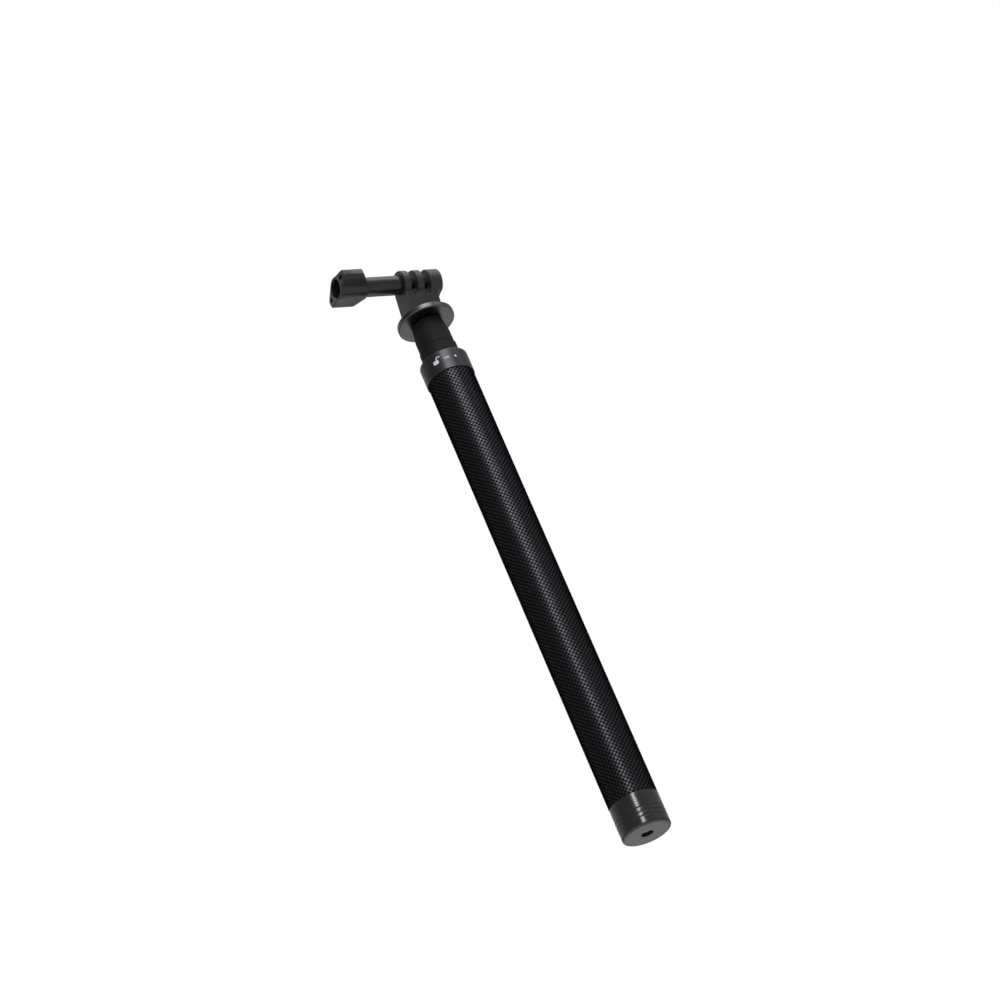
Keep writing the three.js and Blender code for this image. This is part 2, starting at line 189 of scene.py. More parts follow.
def stands_for(piece, node, material):
    """Gives a new piece its material, and lets it take a CAD node's place."""
    piece.data.materials.append(material)
    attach(piece, BODY_OF[node])
    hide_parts(node)
    print(piece.name, "has", len(piece.data.polygons), "faces and stands for", node)
    return piece


# %% [markdown]
# ## Adding nodes
#
# Shader trees are easiest to read when every node is added the same way: its kind, what goes into its
# sockets, and its own settings. A socket takes either a plain value or another node's output.

# %% Node helper


def feed(node, inputs):
    """Fills a node's sockets: another node's output is linked, and a plain value is set."""
    for socket, value in inputs.items():
        if isinstance(value, bpy.types.NodeSocket):
            node.id_data.links.new(value, node.inputs[socket])
        else:
            node.inputs[socket].default_value = value


def add(tree, kind, inputs=None, **settings):
    """Adds one node with its settings, feeds it, and returns its first output."""
    made = tree.nodes.new("ShaderNode" + kind)
    for key, value in settings.items():
        setattr(made, key, value)
    feed(made, inputs or {})
    return made.outputs[0]


def material(name, **sockets):
    """A new material with one Principled shader. The sockets' constant values go on the shader itself."""
    made = bpy.data.materials.new(name)
    made.use_nodes = True
    shader = made.node_tree.nodes["Principled BSDF"]
    feed(shader, {socket.replace("_", " "): value for socket, value in sockets.items()})
    made.diffuse_color = shader.inputs["Base Color"].default_value
    return made, made.node_tree, shader


NOISE_LOW = 0.3  # nearly all noise values lie between these two
NOISE_HIGH = 0.7
print("node helpers are ready")

# %% [markdown]
# ## Turned and anodised aluminium
#
# The end cap, the collar and the locking wheel are aluminium turned on a lathe and then anodised. Turning
# leaves fine rings: they run around the side and around the flat faces alike. A pattern that depends only
# on the distance from the axis and on the height gives both at once. Anodising turns the surface dark, but
# it still mirrors like a metal. Its grey is therefore the metal's own colour, with full metallic.

# %% Turned metal


def turned_metal(name, grey, worn_grey, roughness, ring_pitch, ring_strength):
    """Anodised aluminium off the lathe. The eye sees soft streaks of light across fine rings."""
    made, tree, shader = material(name, Metallic=1.0)
    where = add(tree, "TexCoord").node.outputs["Object"]
    x, y, z = add(tree, "SeparateXYZ", {0: where}).node.outputs
    flat = add(tree, "CombineXYZ", {0: x, 1: y})
    from_axis = add(tree, "VectorMath", {0: flat}, operation="LENGTH").node.outputs["Value"]
    spot = add(tree, "CombineXYZ", {0: from_axis, 1: z})
    rings = add(tree, "TexNoise", {"Vector": spot, "Scale": 1 / (ring_pitch * MM), "Detail": 2.0})
    clouds = add(tree, "TexNoise", {"Vector": where, "Scale": CLOUDS_PER_METRE, "Detail": 3.0})
    shade = add(tree, "MapRange", {0: clouds, 1: NOISE_LOW, 2: NOISE_HIGH})
    base = add(tree, "Mix", {0: shade, 6: colour(grey), 7: colour(worn_grey)}, data_type="RGBA")
    streak_range = {1: NOISE_LOW, 2: NOISE_HIGH, 3: roughness - 0.05, 4: roughness + 0.06}
    streaks = add(tree, "MapRange", {0: rings, **streak_range})
    bump = add(tree, "Bump", {"Height": rings, "Strength": ring_strength, "Distance": RING_DEPTH * MM})
    feed(shader, {"Base Color": base.node.outputs[2], "Roughness": streaks, "Normal": bump})
    return made


CLOUDS_PER_METRE = 180.0
RING_DEPTH = 0.02
# A finely turned cap mirrors a lamp as a sharp bright line.
CAP_METAL = turned_metal("dark anodised aluminium, fine turned", "#5a5a5b", "#626263", 0.19, 0.35, 0.10)
# A satin collar spreads the same lamp into a soft band.
COLLAR_METAL = turned_metal(
    "graphite anodised aluminium, satin turned", "#4e4e50", "#575759", 0.36, 0.30, 0.22
)
# A faced disc lies between the two, and is a little paler.
WHEEL_METAL = turned_metal("grey anodised aluminium, faced", "#666667", "#6e6e6f", 0.30, 0.35, 0.12)
print("turned metals:", CAP_METAL.name, "and two more")

# %% [markdown]
# ## The end cap
#
# A turned cup that plugs the tube's lower end. It has a flat end face with the tripod socket in its middle,
# a rounded edge, and three V-grooves that give the fingers a hold. One outline turned around the axis
# makes it. The outline is closed, so the wall, the socket and the hidden spigot come in the same sweep.

# %% End cap
GRIP_RADIUS = 12.5
CAP_HEIGHT = 17.1
GROOVES = np.array([4.4, 6.8, 9.2])
GROOVE_DEPTH = 0.4
GROOVE_HALF = 0.32
SOCKET_RADIUS = 2.95
SPIGOT_RADIUS = 10.8  # the part that is bonded into the tube
SPIGOT_HIGH = 28
INSERT_BORE = 4.3
FACE_WALL = 1.6


def grooved_side(radius, heights, half, depth):
    """Three points for each groove: on the side, at its bottom, and on the side again."""
    z = heights[:, None] + np.array([-half, 0, half])
    r = radius - np.array([0, depth, 0]) + 0 * z
    return np.stack([r, z], -1).reshape(-1, 2)


cap_outline = np.concatenate(
    [
        [[SOCKET_RADIUS + 0.2, 0], [GRIP_RADIUS - 1.4, 0], [GRIP_RADIUS - 0.6, 0.25]],
        [[GRIP_RADIUS - 0.17, 0.6], [GRIP_RADIUS, 1.15]],
        grooved_side(GRIP_RADIUS, GROOVES, GROOVE_HALF, GROOVE_DEPTH),
        [[GRIP_RADIUS, CAP_HEIGHT], [SPIGOT_RADIUS, CAP_HEIGHT], [SPIGOT_RADIUS, SPIGOT_HIGH]],
        [[INSERT_BORE, SPIGOT_HIGH], [INSERT_BORE, FACE_WALL]],
        [[SOCKET_RADIUS, FACE_WALL], [SOCKET_RADIUS, 0.2]],
    ]
)
cap_curve = soften(cap_outline, 0.12)
cap = around_stick("end_cap_turned", cap_curve[:, 0], cap_curve[:, 1], full_turn(256))
stands_for(cap, "end_cap", CAP_METAL)

# %% [markdown]
# ## Threads
#
# A screw thread is a groove that climbs by one pitch for each turn. In a grid that is simple: the radius at
# a point depends on how far its height, less its share of a turn, lies between two crests. A screw operator
# could do the same, but the ends would need closing by hand.

# %% Threads


def thread(along, angle, crest, root, pitch):
    """Radius of a thread: from crest to root and back in each pitch, by 1 - |2 f - 1| of the fraction f of
    (along / pitch - angle / full turn), with its tops and bottoms cut flat."""
    fraction = np.mod(along[:, None] / pitch - angle[None, :] / (2 * np.pi), 1)
    ramp = np.clip(1.4 * (1 - np.abs(2 * fraction - 1)) - 0.2, 0, 1)
    return crest + (root - crest) * ramp


QUARTER_INCH_PITCH = 1.27
QUARTER_INCH_CREST = 2.62
QUARTER_INCH_ROOT = 3.1
INSERT_RADIUS = 4.1
ROW_STEP = 0.12
socket_angle = full_turn(64)
socket_z = np.arange(1.8, 14.0, ROW_STEP)
socket_bore = thread(socket_z, socket_angle, QUARTER_INCH_CREST, QUARTER_INCH_ROOT, QUARTER_INCH_PITCH)
socket_radius = np.concatenate([socket_bore, np.full((2, 64), INSERT_RADIUS)])
socket_height = np.concatenate([socket_z, [socket_z[-1], socket_z[0]]])
socket = around_stick("tripod_socket_thread", socket_radius, socket_height, socket_angle)
print("the socket's thread makes", round((socket_z[-1] - socket_z[0]) / QUARTER_INCH_PITCH, 1), "turns")

# %% [markdown]
# ## Steel, brass and black plastics
#
# The hardware is stainless steel, rolled and cut, so it is bright with a faint cloud in its shine. Brass is
# the same with a warm colour. The plastics differ in how their mould was finished: a spark-eroded mould
# gives the neck and the fork a fine even grain, and a polished one gives the knob its soft shine.

# %% Hardware and plastics


def clouded(name, dark, light, roughness, change, grain, strength, **sockets):
    """A plain material with a slow cloud in its colour, and grain of a given size in mm in its relief."""
    made, tree, shader = material(name, **sockets)
    where = add(tree, "TexCoord").node.outputs["Object"]
    clouds = add(tree, "TexNoise", {"Vector": where, "Scale": 1 / (CLOUD_SIZE * MM), "Detail": 2.0})
    shade = add(tree, "MapRange", {0: clouds, 1: NOISE_LOW, 2: NOISE_HIGH})
    base = add(tree, "Mix", {0: shade, 6: colour(dark), 7: colour(light)}, data_type="RGBA")
    fine = add(tree, "TexNoise", {"Vector": where, "Scale": 1 / (grain * MM), "Detail": 2.0})
    shine_range = {1: NOISE_LOW, 2: NOISE_HIGH, 3: roughness - change, 4: roughness + change}
    shine = add(tree, "MapRange", {0: fine, **shine_range})
    bump = add(tree, "Bump", {"Height": fine, "Strength": strength, "Distance": GRAIN_DEPTH * MM})
    feed(shader, {"Base Color": base.node.outputs[2], "Roughness": shine, "Normal": bump})
    return made


CLOUD_SIZE = 1000 / 120
GRAIN_DEPTH = 0.03
# Bright metal: sharp, slightly uneven reflections.
STEEL = clouded("stainless steel, rolled", "#9c9c9d", "#b4b4b5", 0.24, 0.05, 0.4, 0.08, Metallic=1.0)
# Oxide turns a steel screw almost black and leaves it slightly glossy.
BLACK_STEEL = clouded("black oxide steel", "#2a2a2b", "#343435", 0.32, 0.05, 0.4, 0.08, Metallic=1.0)
# Brass mirrors like the steel, in its own warm yellow.
BRASS = clouded("brass, turned", "#a5823f", "#b9964f", 0.3, 0.05, 0.4, 0.08, Metallic=1.0)
# A spark-eroded mould leaves a fine sandy grain: hardly any shine, the same from every side.
NECK_LOOK = ("#19191b", "#1f1f21", 0.66, 0.05, 0.22, 0.35)
NECK_PLASTIC = clouded("black nylon, fine grained", *NECK_LOOK, Specular_IOR_Level=0.25)
# The fork comes from a similar mould, in a harder and slightly paler plastic that shines a little more.
FORK_LOOK = ("#28282a", "#2e2e30", 0.42, 0.05, 0.25, 0.3)
FORK_PLASTIC = clouded("dark nylon, spark-eroded grain", *FORK_LOOK, Specular_IOR_Level=0.8)
# Polished mould: a soft shine that shows the form's edges.
KNOB_LOOK = ("#222224", "#29292b", 0.27, 0.01, 0.5, 0.01)
KNOB_PLASTIC = clouded("dark nylon, semi-gloss", *KNOB_LOOK, Specular_IOR_Level=0.75)
# Acetal rings and feet that slide inside the tubes: waxy black.
ACETAL = clouded("black acetal, moulded", "#101011", "#151516", 0.4, 0.04, 0.5, 0.1)
# Rubber: no shine, a little dust.
RUBBER = clouded("black rubber, dull", "#121212", "#1b1b1a", 0.75, 0.06, 0.3, 0.4)
stands_for(socket, "tripod_thread_insert", STEEL)

# %% [markdown]
# ## Woven carbon fibre
#
# The grip is a tube under a woven sleeve. Flat bundles of fibre, called tows, run around it in two spirals
# that cross at about 90 degrees, each passing over one and under the next. Every crossing is a small
# cushion. The relief could be left to a bump texture, but then the tube would have no weave of its own. So
# the grid has four columns for each crossing around the tube, and its radius follows two phases, one for
# each spiral. The shader works out the same two phases from the place, to lay fine fibres along the tows
# and to paint shade, a near-black colour, into the corners between the cushions.

# %% Weave
TUBE_LOW = 17.3
TUBE_HIGH = 270.3
SPIRALS = 33  # tows of each direction around the tube
PER_MM = 0.422  # tows of each direction for each mm of height
WEAVE_DEPTH = 0.09


def weave_height(angle, height):
    """Height of the cloth, 0 to 1. p and q count the tows of the two spirals. Where floor(p) + floor(q) is
    even the first spiral is on top. Its cushion is |sin pi p|^0.35 across times |sin pi q|^0.8 along."""
    p = SPIRALS * angle / (2 * np.pi) + PER_MM * height
    q = SPIRALS * angle / (2 * np.pi) - PER_MM * height
    first_on_top = np.mod(np.floor(p + 1e-9) + np.floor(q + 1e-9), 2) < 0.5
    across = np.where(first_on_top, np.abs(np.sin(np.pi * p)), np.abs(np.sin(np.pi * q)))
    along = np.where(first_on_top, np.abs(np.sin(np.pi * q)), np.abs(np.sin(np.pi * p)))
    return across**0.35 * along**0.8


weave_angle = full_turn(4 * SPIRALS)
weave_z = np.arange(TUBE_LOW + 0.15, TUBE_HIGH - 0.1, 0.25 / PER_MM)
cloth = weave_height(weave_angle[None, :], weave_z[:, None])
weave_radius = GRIP_RADIUS - WEAVE_DEPTH * (1 - cloth)
edge_radius = GRIP_RADIUS - 1.2 * WEAVE_DEPTH
BORE = 11.0
ends = [np.full((1, len(weave_angle)), r) for r in (edge_radius, BORE)]
tube_radius = np.concatenate([ends[0], weave_radius, ends[0], ends[1], ends[1]])
tube_z = np.concatenate([[TUBE_LOW], weave_z, [TUBE_HIGH, TUBE_HIGH, TUBE_LOW]])
tube = around_stick("grip_tube_woven", tube_radius, tube_z, weave_angle)
print("weave rows:", len(weave_z), "columns:", len(weave_angle))

# %% Carbon material


def carbon_fibre(name):
    """Bare carbon cloth: black, with a graphite glint where a tow's crown faces the light. Graphite
    conducts, so it mirrors like a metal, but less than a tenth of the light, and less at grazing angles."""
    made, tree, shader = material(name, Metallic=1.0, Specular_Tint=colour("#404040"))
    p, q = tow_phases(tree)
    fibre = tow_fibres(tree, p, q)
    gap_shade = tow_gap_shade(tree, p, q)
    graphite = {0: fibre, 6: colour("#39393a"), 7: colour("#58585b")}
    crown = add(tree, "Mix", graphite, data_type="RGBA").node.outputs[2]
    # Painted shade: the gap mask turns the corners between the cushions near black.
    base = add(tree, "Mix", {0: gap_shade, 6: colour("#060606"), 7: crown}, data_type="RGBA")
    shine = add(tree, "MapRange", {0: fibre, 1: 0.2, 2: 0.8, 3: 0.38, 4: 0.26})
    dull = add(tree, "Mix", {0: gap_shade, 2: 0.7, 3: shine})
    bump = add(tree, "Bump", {"Height": fibre, "Strength": 0.25, "Distance": FIBRE_DEPTH * MM})
    feed(shader, {"Base Color": base.node.outputs[2], "Roughness": dull, "Normal": bump})
    return made


def tow_phases(tree):
    """The two phases of the weave at a point, worked out as in the mesh: turn times count, plus and minus
    height times count per mm."""
    x, y, z = add(tree, "SeparateXYZ", {0: add(tree, "TexCoord").node.outputs["Object"]}).node.outputs
    turn = add(tree, "Math", {0: y, 1: x}, operation="ARCTAN2")
    around = add(tree, "Math", {0: turn, 1: SPIRALS / (2 * math.pi)}, operation="MULTIPLY")
    up = add(tree, "Math", {0: z, 1: PER_MM / MM}, operation="MULTIPLY")
    return [add(tree, "Math", {0: around, 1: up}, operation=sign) for sign in ("ADD", "SUBTRACT")]


def tow_fibres(tree, p, q):
    """Fine lines along the tow on top: noise drawn out 12 times longer than it is wide. Real fibres are a
    few thousandths of a mm thick, so bundles of about 0.1 mm stand for them. The second spiral is on top
    where floor(p) + floor(q) is odd."""
    lines = []
    for across, along in ((p, q), (q, p)):
        wide = add(tree, "Math", {0: across, 1: LINES_ACROSS}, operation="MULTIPLY")
        long = add(tree, "Math", {0: along, 1: LINES_ALONG}, operation="MULTIPLY")
        spot = add(tree, "CombineXYZ", {0: wide, 1: long})
        noise = add(tree, "TexNoise", {"Vector": spot, "Scale": 1.0, "Detail": 1.0})
        lines.append(add(tree, "MapRange", {0: noise, 1: NOISE_LOW, 2: NOISE_HIGH}))
    floors = [add(tree, "Math", {0: phase}, operation="FLOOR") for phase in (p, q)]
    both = add(tree, "Math", {0: floors[0], 1: floors[1]}, operation="ADD")
    half = add(tree, "Math", {0: both, 1: 0.5}, operation="MULTIPLY")
    odd = add(tree, "Math", {0: half}, operation="FRACT")
    second_on_top = add(tree, "Math", {0: odd, 1: 0.25}, operation="GREATER_THAN")
    return add(tree, "Mix", {0: second_on_top, 2: lines[0], 3: lines[1]})


def tow_gap_shade(tree, p, q):
    """Painted shade mask: 0 in the corners between the cushions, which are painted near black, and 1 on
    them, from |sin pi p| times |sin pi q|.
    """
    waves = []
    for phase in (p, q):
        turned = add(tree, "Math", {0: phase, 1: math.pi}, operation="MULTIPLY")
        wave = add(tree, "Math", {0: turned}, operation="SINE")
        waves.append(add(tree, "Math", {0: wave}, operation="ABSOLUTE"))
    product = add(tree, "Math", {0: waves[0], 1: waves[1]}, operation="MULTIPLY")
    return add(tree, "MapRange", {0: product, 1: 0.10, 2: 0.55})


LINES_ACROSS = 14.0
LINES_ALONG = 1.2
FIBRE_DEPTH = 0.02
CARBON = carbon_fibre("carbon fibre, plain weave at 45 degrees")
stands_for(tube, "grip_tube", CARBON)

# %% [markdown]
# ## The twist-lock collar
#
# Turning this ring squeezes a slit plastic collet onto the innermost tubes, which locks the stick's length.
# It is a turned ring with a rounded top edge and a slightly smaller mouth.

# %% Lock collar
COLLAR_RADIUS = 13.0
COLLAR_LOW = 270.6
COLLAR_HIGH = 282.8
collar_outline = [
    [11.95, COLLAR_LOW],
    [COLLAR_RADIUS - 0.25, COLLAR_LOW],
    [COLLAR_RADIUS, COLLAR_LOW + 0.25],
    [COLLAR_RADIUS, COLLAR_HIGH],
    [10.3, COLLAR_HIGH],
    [10.3, COLLAR_HIGH - 0.7],
    [11.95, 278.8],
]
sharp_part = soften(collar_outline[:3], 0.1, closed=False)
round_part = soften(collar_outline[2:5], 0.95, closed=False, steps=8)
inner_part = np.array(collar_outline[5:])
collar_curve = np.concatenate([sharp_part, round_part[1:], inner_part])
collar = around_stick("lock_collar_turned", collar_curve[:, 0], collar_curve[:, 1], full_turn(256))
stands_for(collar, "lock_collar", COLLAR_METAL)

# %% [markdown]
# ## The printed marks
#
# White ink on the collar says which way to turn: an open padlock, a short arrow and a dot. Ink is a film
# that lies on the metal, so each mark is a thin closed patch wrapped around the collar. A patch is a
# superellipse, and a line is a flat band carried along a path.

# %% Printed marks
INK = clouded("white screen-printed ink", "#f4f4f4", "#ffffff", 0.55, 0.04, 0.3, 0.1)
INK_THICK = 0.03
FRONT = math.radians(-123.75)  # the side of the collar that carries the marks
MARK_HEIGHT = 277.0


def wrapped(across, up, out, azimuth):
    """Bends flat points in mm onto the collar: across follows the circle, up the axis, out the radius."""
    angle = FRONT + math.radians(azimuth) + across / COLLAR_RADIUS
    radius = COLLAR_RADIUS + out
    return np.stack([radius * np.cos(angle), radius * np.sin(angle), MARK_HEIGHT + up], -1)


def patch(name, azimuth, middle, half_size, power):
    """A superellipse: |x/a|^n + |y/b|^n = 1 is its edge. Rows go over the top, around the edge and back."""
    angle = full_turn(64)
    c, s = np.cos(angle), np.sin(angle)
    edge = (np.abs(c) ** power + np.abs(s) ** power) ** (-1 / power)
    scale = np.array([0, 0.35, 0.7, 0.95, 1, 1, 0.95, 0.5, 0])[:, None]
    out = INK_THICK * np.array([1, 1, 1, 1, 0.7, -0.7, -1, -1, -1])[:, None]
    across = middle[0] + half_size[0] * scale * edge * c
    up = middle[1] + half_size[1] * scale * edge * s
    piece = surface(name, wrapped(across, up, out + 0 * across, azimuth), ring=False)
    return mark(piece)


def stroke(name, azimuth, path, width):
    """A band along a path of (across, up) points. Its section is a flat oval that closes at both ends."""
    path = np.asarray(path, float)
    way = np.gradient(path, axis=0)
    way /= np.linalg.norm(way, axis=1, keepdims=True)
    side = np.stack([-way[:, 1], way[:, 0]], -1)
    angle = full_turn(12)
    fill = np.ones(len(path))
    fill[[0, -1]] = 0
    offset = (width / 2) * fill[:, None] * np.cos(angle)
    across = path[:, :1] + side[:, :1] * offset
    up = path[:, 1:] + side[:, 1:] * offset
    out = INK_THICK * fill[:, None] * np.sin(angle)
    return mark(surface(name, wrapped(across, up, out, azimuth), ring=False))


def mark(piece):
    """A mark turns with the collar and takes the place of nothing."""
    piece.data.materials.append(INK)
    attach(piece, "lock_collar")
    return piece


bow = np.radians(np.linspace(175, 20, 20))
shackle = np.stack([1.35 + 1.0 * np.cos(bow), 1.25 + 1.15 * np.sin(bow)], -1)
shackle = np.concatenate([[[0.35, 0.6], [0.35, 0.62]], shackle, shackle[-1:] + 0.01])
patch("mark_padlock", -14, (-0.4, -0.35), (1.55, 1.15), 5.0)
stroke("mark_shackle", -14, shackle, 0.55)
line = np.linspace([-1.4, 0.1], [1.2, 0.1], 12)
stroke("mark_arrow", 11, np.concatenate([line[:1] - 0.01, line, line[-1:] + 0.01]), 0.5)
barb = [[0.5, 0.75], [0.52, 0.73], [0.85, 0.4], [1.2, 0.1]]
barb += [[0.85, -0.2], [0.52, -0.53], [0.5, -0.55]]
stroke("mark_barb", 11, barb, 0.4)
patch("mark_dot", 33, (0, 0), (0.6, 0.6), 2.0)
print("five marks of ink,", INK_THICK, "mm thick")

# %% [markdown]
# ## The neck
#
# A black moulded sleeve that is glued to the innermost tube and carries the head. It steps in once and
# tapers towards the wheel. When the stick is collapsed it sits right on the collar and hides the tubes.

# %% Neck
neck_outline = [
    [8.9, 283.1],
    [10.05, 283.1],
    [10.05, 290.8],
    [9.35, 290.95],
    [9.35, 291.25],
    [9.55, 291.4],
    [9.55, 299.0],
    [8.45, 306.9],
    [8.45, 307.3],
    [6.7, 307.3],
    [6.7, 300.4],
    [4.75, 300.4],
    [4.75, 290.2],
    [8.9, 290.2],
]
neck_curve = soften(neck_outline, 0.25)
neck = around_stick("neck_sleeve", neck_curve[:, 0], neck_curve[:, 1])
stands_for(neck, "neck_shell", NECK_PLASTIC)

# %% [markdown]
# ## The locking wheel
#
# A thin turned disc on the stud. Screwed up against the fork, it holds the fork at the angle it was
# panned to. Its rim has a small chamfer on both sides, which catches the light as two thin lines.

# %% Locking wheel
WHEEL_RADIUS = 15.4
WHEEL_LOW = 308.1
WHEEL_HIGH = 311.2
wheel_outline = [
    [3.35, WHEEL_LOW],
    [WHEEL_RADIUS - 0.4, WHEEL_LOW],
    [WHEEL_RADIUS, WHEEL_LOW + 0.4],
    [WHEEL_RADIUS, WHEEL_HIGH - 0.4],
    [WHEEL_RADIUS - 0.4, WHEEL_HIGH],
    [3.35, WHEEL_HIGH],
]
wheel_curve = soften(wheel_outline, 0.12)
wheel = around_stick("locking_wheel_turned", wheel_curve[:, 0], wheel_curve[:, 1], full_turn(256))
stands_for(wheel, "locking_wheel", WHEEL_METAL)

# %% [markdown]
# ## The nested tubes
#
# Five drawn aluminium tubes slide in one another, each a little thinner than the last. They show when the
# stick is pulled out, with a black plastic ring at the top of each that guides the next. Drawing a tube
# through a die leaves faint lines along it, so the pattern is stretched along the axis.

# %% Nested tubes


def drawn_metal(name):
    """Black anodised tube: long soft lines that run with the tube."""
    made, tree, shader = material(name, Metallic=1.0)
    x, y, z = add(tree, "SeparateXYZ", {0: add(tree, "TexCoord").node.outputs["Object"]}).node.outputs
    squeezed = add(tree, "Math", {0: z, 1: 0.02}, operation="MULTIPLY")
    along = add(tree, "CombineXYZ", {0: x, 1: y, 2: squeezed})
    lines = add(tree, "TexNoise", {"Vector": along, "Scale": 1 / (0.4 * MM), "Detail": 2.0})
    shade = add(tree, "MapRange", {0: lines, 1: NOISE_LOW, 2: NOISE_HIGH})
    base = add(tree, "Mix", {0: shade, 6: colour("#3a3a3c"), 7: colour("#434345")}, data_type="RGBA")
    shine = add(tree, "MapRange", {0: lines, 1: NOISE_LOW, 2: NOISE_HIGH, 3: 0.22, 4: 0.34})
    bump = add(tree, "Bump", {"Height": lines, "Strength": 0.1, "Distance": 0.01 * MM})
    feed(shader, {"Base Color": base.node.outputs[2], "Roughness": shine, "Normal": bump})
    return made


TUBE_METAL = drawn_metal("black anodised aluminium, drawn")
SECTIONS = [(9.6, 8.8), (8.3, 7.55), (7.05, 6.3), (5.8, 5.05), (4.55, 3.8)]
for number, (outer, inner) in enumerate(SECTIONS, 1):
    low, high = (corner[2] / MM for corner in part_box(f"section_tube_{number}"))
    outline = soften([[outer, low], [outer, high], [inner, high], [inner, low]], 0.1)
    drawn = around_stick(f"drawn_tube_{number}", outline[:, 0], outline[:, 1], full_turn(128))
    stands_for(drawn, f"section_tube_{number}", TUBE_METAL)
    if number < len(SECTIONS):
        low, high = (corner[2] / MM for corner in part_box(f"section_ferrule_{number}"))
        bore = SECTIONS[number][0] + 0.2
        outline = soften([[outer, low], [outer, high], [bore, high], [bore, low]], 0.3)
        guide = around_stick(f"guide_ring_{number}", outline[:, 0], outline[:, 1], full_turn(128))
        stands_for(guide, f"section_ferrule_{number}", ACETAL)

# %% [markdown]
# ## The fork
#
# The camera's two fingers go between the fork's three prongs. It is one moulding: a base that leans
# forward from the wheel, three round lugs, a boss with a hexagon pocket for the nut, and a bore right
# through. Its side outline carried along X makes the body, and the gaps and bores are cut out of it, as the
# mould's cores would leave them. A bevel then gives every edge the small radius that a moulding has.

# %% Fork
LUG_RADIUS = 7.5
FORK_LOW = 311.5
FORK_FRONT = -5.4
FORK_BACK = 6.8
HALF_WIDTH = 9.4
BOSS_END = 12.7
GAP_MIDDLE = 3.775
GAP_HALF = 1.925
SLOT_FLOOR = 323.0
FORK_BORE = 2.75
NUT_POCKET = 4.1  # from the screw's axis to a flat of the pocket
POCKET_FLOOR = 8.6
EDGE_RADIUS = 0.35


def lug_point(degrees):
    """A point on the lug's circle, by its angle from +Y towards +Z."""
    angle = np.radians(degrees)
    return np.stack([HINGE_Y + LUG_RADIUS * np.cos(angle), HINGE_Z + LUG_RADIUS * np.sin(angle)], -1)


BACK_ANGLE = 12.0  # where the base's back leaves the lug, as its tangent
FRONT_ANGLE = 243.0  # where the base's front meets the lug, in a small inside corner
arc = lug_point(np.linspace(BACK_ANGLE, FRONT_ANGLE, 76))
foot = np.array([[FORK_FRONT, FORK_LOW], [FORK_BACK, FORK_LOW]])
side_outline = np.concatenate([arc, foot])
boss_outline = np.concatenate([arc, lug_point(np.array([290.0, 330.0]))])


def cap_ends(mesh):
    """Closes the two open ends of a swept outline with one flat face each."""
    work = bmesh.new()
    work.from_mesh(mesh)
    bmesh.ops.remove_doubles(work, verts=work.verts, dist=1e-7)
    bmesh.ops.dissolve_degenerate(work, edges=work.edges, dist=1e-8)
    bmesh.ops.holes_fill(work, edges=[e for e in work.edges if e.is_boundary])
    bmesh.ops.recalc_face_normals(work, faces=work.faces)
    work.to_mesh(mesh)
    work.free()


def prism(name, outlines, reaches):
    """Carries outlines of equal length along X: point (x_i, y_ij, z_ij). Both ends are closed flat."""
    points = np.stack([np.column_stack([np.full(len(o), x), o]) for o, x in zip(outlines, reaches)])
    rows, columns = points.shape[:2]
    index = np.arange(rows * columns).reshape(rows, columns)
    index = np.hstack([index, index[:, :1]])
    quads = np.stack([index[:-1, :-1], index[:-1, 1:], index[1:, 1:], index[1:, :-1]], -1)
    mesh = bpy.data.meshes.new(name)
    mesh.from_pydata((points.reshape(-1, 3) * MM).tolist(), [], quads.reshape(-1, 4).tolist())
    cap_ends(mesh)
    return show(name, mesh)


def ring_outline(radius, columns):
    """A regular outline around the screw's axis."""
    angle = full_turn(columns)
    return np.stack([HINGE_Y + radius * np.cos(angle), HINGE_Z + radius * np.sin(angle)], -1)


def box_outline(low, high):
    """A tall rectangle in Y and Z, well past the fork's front and back."""
    return np.array([[-40, low], [40, low], [40, high], [-40, high]], float)


body = prism(
    "fork_moulding",
    [side_outline, side_outline, boss_outline, boss_outline],
    [-HALF_WIDTH, HALF_WIDTH, HALF_WIDTH, BOSS_END],
)
slot = box_outline(SLOT_FLOOR, 350)
cutters = [
    prism("cut_left", [slot, slot], [-GAP_MIDDLE - GAP_HALF, -GAP_MIDDLE + GAP_HALF]),
    prism("cut_right", [slot, slot], [GAP_MIDDLE - GAP_HALF, GAP_MIDDLE + GAP_HALF]),
    prism("cut_bore", [ring_outline(FORK_BORE, 64)] * 2, [-20, 20]),
    prism("cut_nut", [ring_outline(NUT_POCKET / math.cos(math.pi / 6), 6)] * 2, [POCKET_FLOOR, 20]),
]


def cut(piece, tools, edge):
    """Takes the tools' shapes out of a piece, rounds its edges, and keeps the result as a plain mesh."""
    for tool in tools:
        step = piece.modifiers.new("cut", "BOOLEAN")
        step.operation = "DIFFERENCE"
        step.solver = "EXACT"
        step.object = tool
    rounding = piece.modifiers.new("edges", "BEVEL")
    rounding.width = edge * MM
    rounding.segments = 3
    rounding.limit_method = "ANGLE"
    rounding.angle_limit = math.radians(32)
    rounding.use_clamp_overlap = False
    graph = bpy.context.evaluated_depsgraph_get()
    final = bpy.data.meshes.new_from_object(piece.evaluated_get(graph))
    piece.modifiers.clear()
    piece.data = final
    for tool in tools:
        bpy.data.objects.remove(tool)
    return piece


cut(body, cutters, EDGE_RADIUS)
body.data.shade_smooth()
body.data.set_sharp_from_angle(angle=math.radians(40))
weights = body.modifiers.new("flat faces stay flat", "WEIGHTED_NORMAL")
weights.keep_sharp = True
stands_for(body, "mount_fork", FORK_PLASTIC)

# %% [markdown]
# ## Nut and bolt
#
# A hexagon seen around its axis is a radius that depends on the angle: half the distance across the flats
# over the cosine of the angle from the middle of a flat. A nut's corners are turned off by a cone, so its
# radius is the smaller of the hexagon and the cone. The bolt's head holds a hexagon key socket, made the
# same way from the inside.

# %% Hexagon helper


